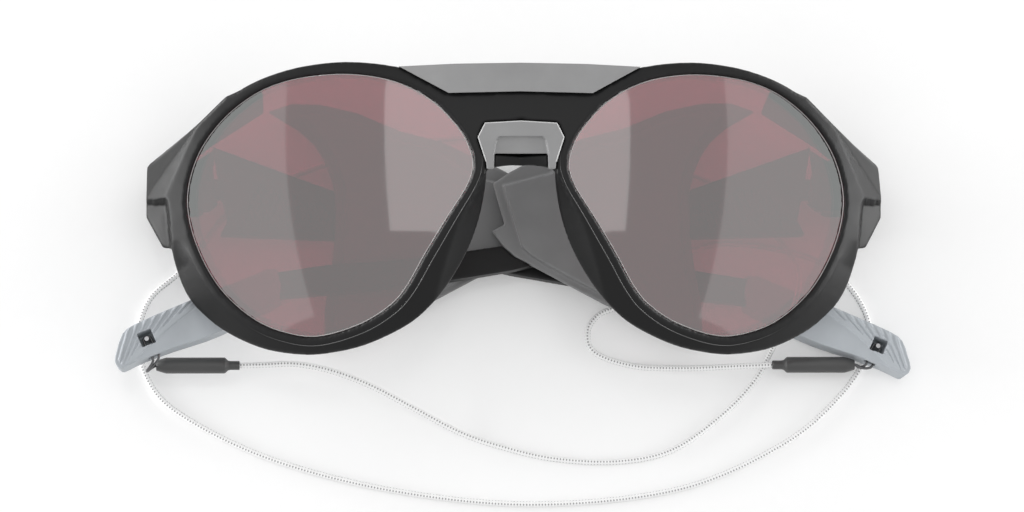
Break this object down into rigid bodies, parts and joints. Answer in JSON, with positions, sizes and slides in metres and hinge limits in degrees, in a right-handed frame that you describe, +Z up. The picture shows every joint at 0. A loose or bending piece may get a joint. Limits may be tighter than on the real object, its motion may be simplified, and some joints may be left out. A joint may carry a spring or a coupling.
{
  "type": "folding sunglasses",
  "caption": "Folded round-lens mountain sunglasses with side shields, hinged temples, ribbed ear socks and a leash cord.",
  "frame": {"origin": "on the surface the folded sunglasses lie on, below the middle of the frame", "axes": "X across the face, Y towards the brow, Z up and away from the face"},
  "size_m": [0.1591, 0.0829, 0.0455],
  "materials": {
    "frame_plastic": "matte black moulded plastic",
    "lens": "neutral mirror coating over a rose base",
    "grey_trim": "satin grey moulded plastic",
    "dark_rubber": "matte dark grey rubber",
    "steel": "plain steel",
    "pale_rubber": "pale grey ribbed rubber",
    "barrel_plastic": "dark grey plastic",
    "white_cord": "white braid with dark flecks"
  },
  "bodies": {
    "front": {"front_frame": "frame_plastic", "lens_right": "lens", "lens_left": "lens", "brow_cover": "grey_trim", "bridge_insert": "grey_trim", "nose_pad_right": "dark_rubber", "nose_pad_left": "dark_rubber", "hinge_block_right": "frame_plastic", "hinge_block_left": "frame_plastic", "hinge_pin_right": "steel", "hinge_pin_left": "steel", "leash_cord": "white_cord"},
    "temple_right": {"stem_right": "frame_plastic", "side_shield_right": "grey_trim", "shield_screws_right": "steel", "ear_sock_right": "pale_rubber", "loop_bar_right": "steel", "wire_loop_right": "steel", "crimp_barrel_right": "barrel_plastic"},
    "temple_left": {"stem_left": "frame_plastic", "side_shield_left": "grey_trim", "shield_screws_left": "steel", "ear_sock_left": "pale_rubber", "loop_bar_left": "steel", "wire_loop_left": "steel", "crimp_barrel_left": "barrel_plastic"}
  },
  "joints": [
    {"name": "fold_right", "type": "hinge", "parent": "front", "child": "temple_right", "pos_m": [0.0645, 0.0101, 0.00695], "axis": [0, -1, 0], "range_deg": [0, 90], "deforming": ["leash_cord"]},
    {"name": "fold_left", "type": "hinge", "parent": "front", "child": "temple_left", "pos_m": [-0.0645, 0.0101, 0.00695], "axis": [0, 1, 0], "range_deg": [0, 87], "deforming": ["leash_cord"]}
  ]
}
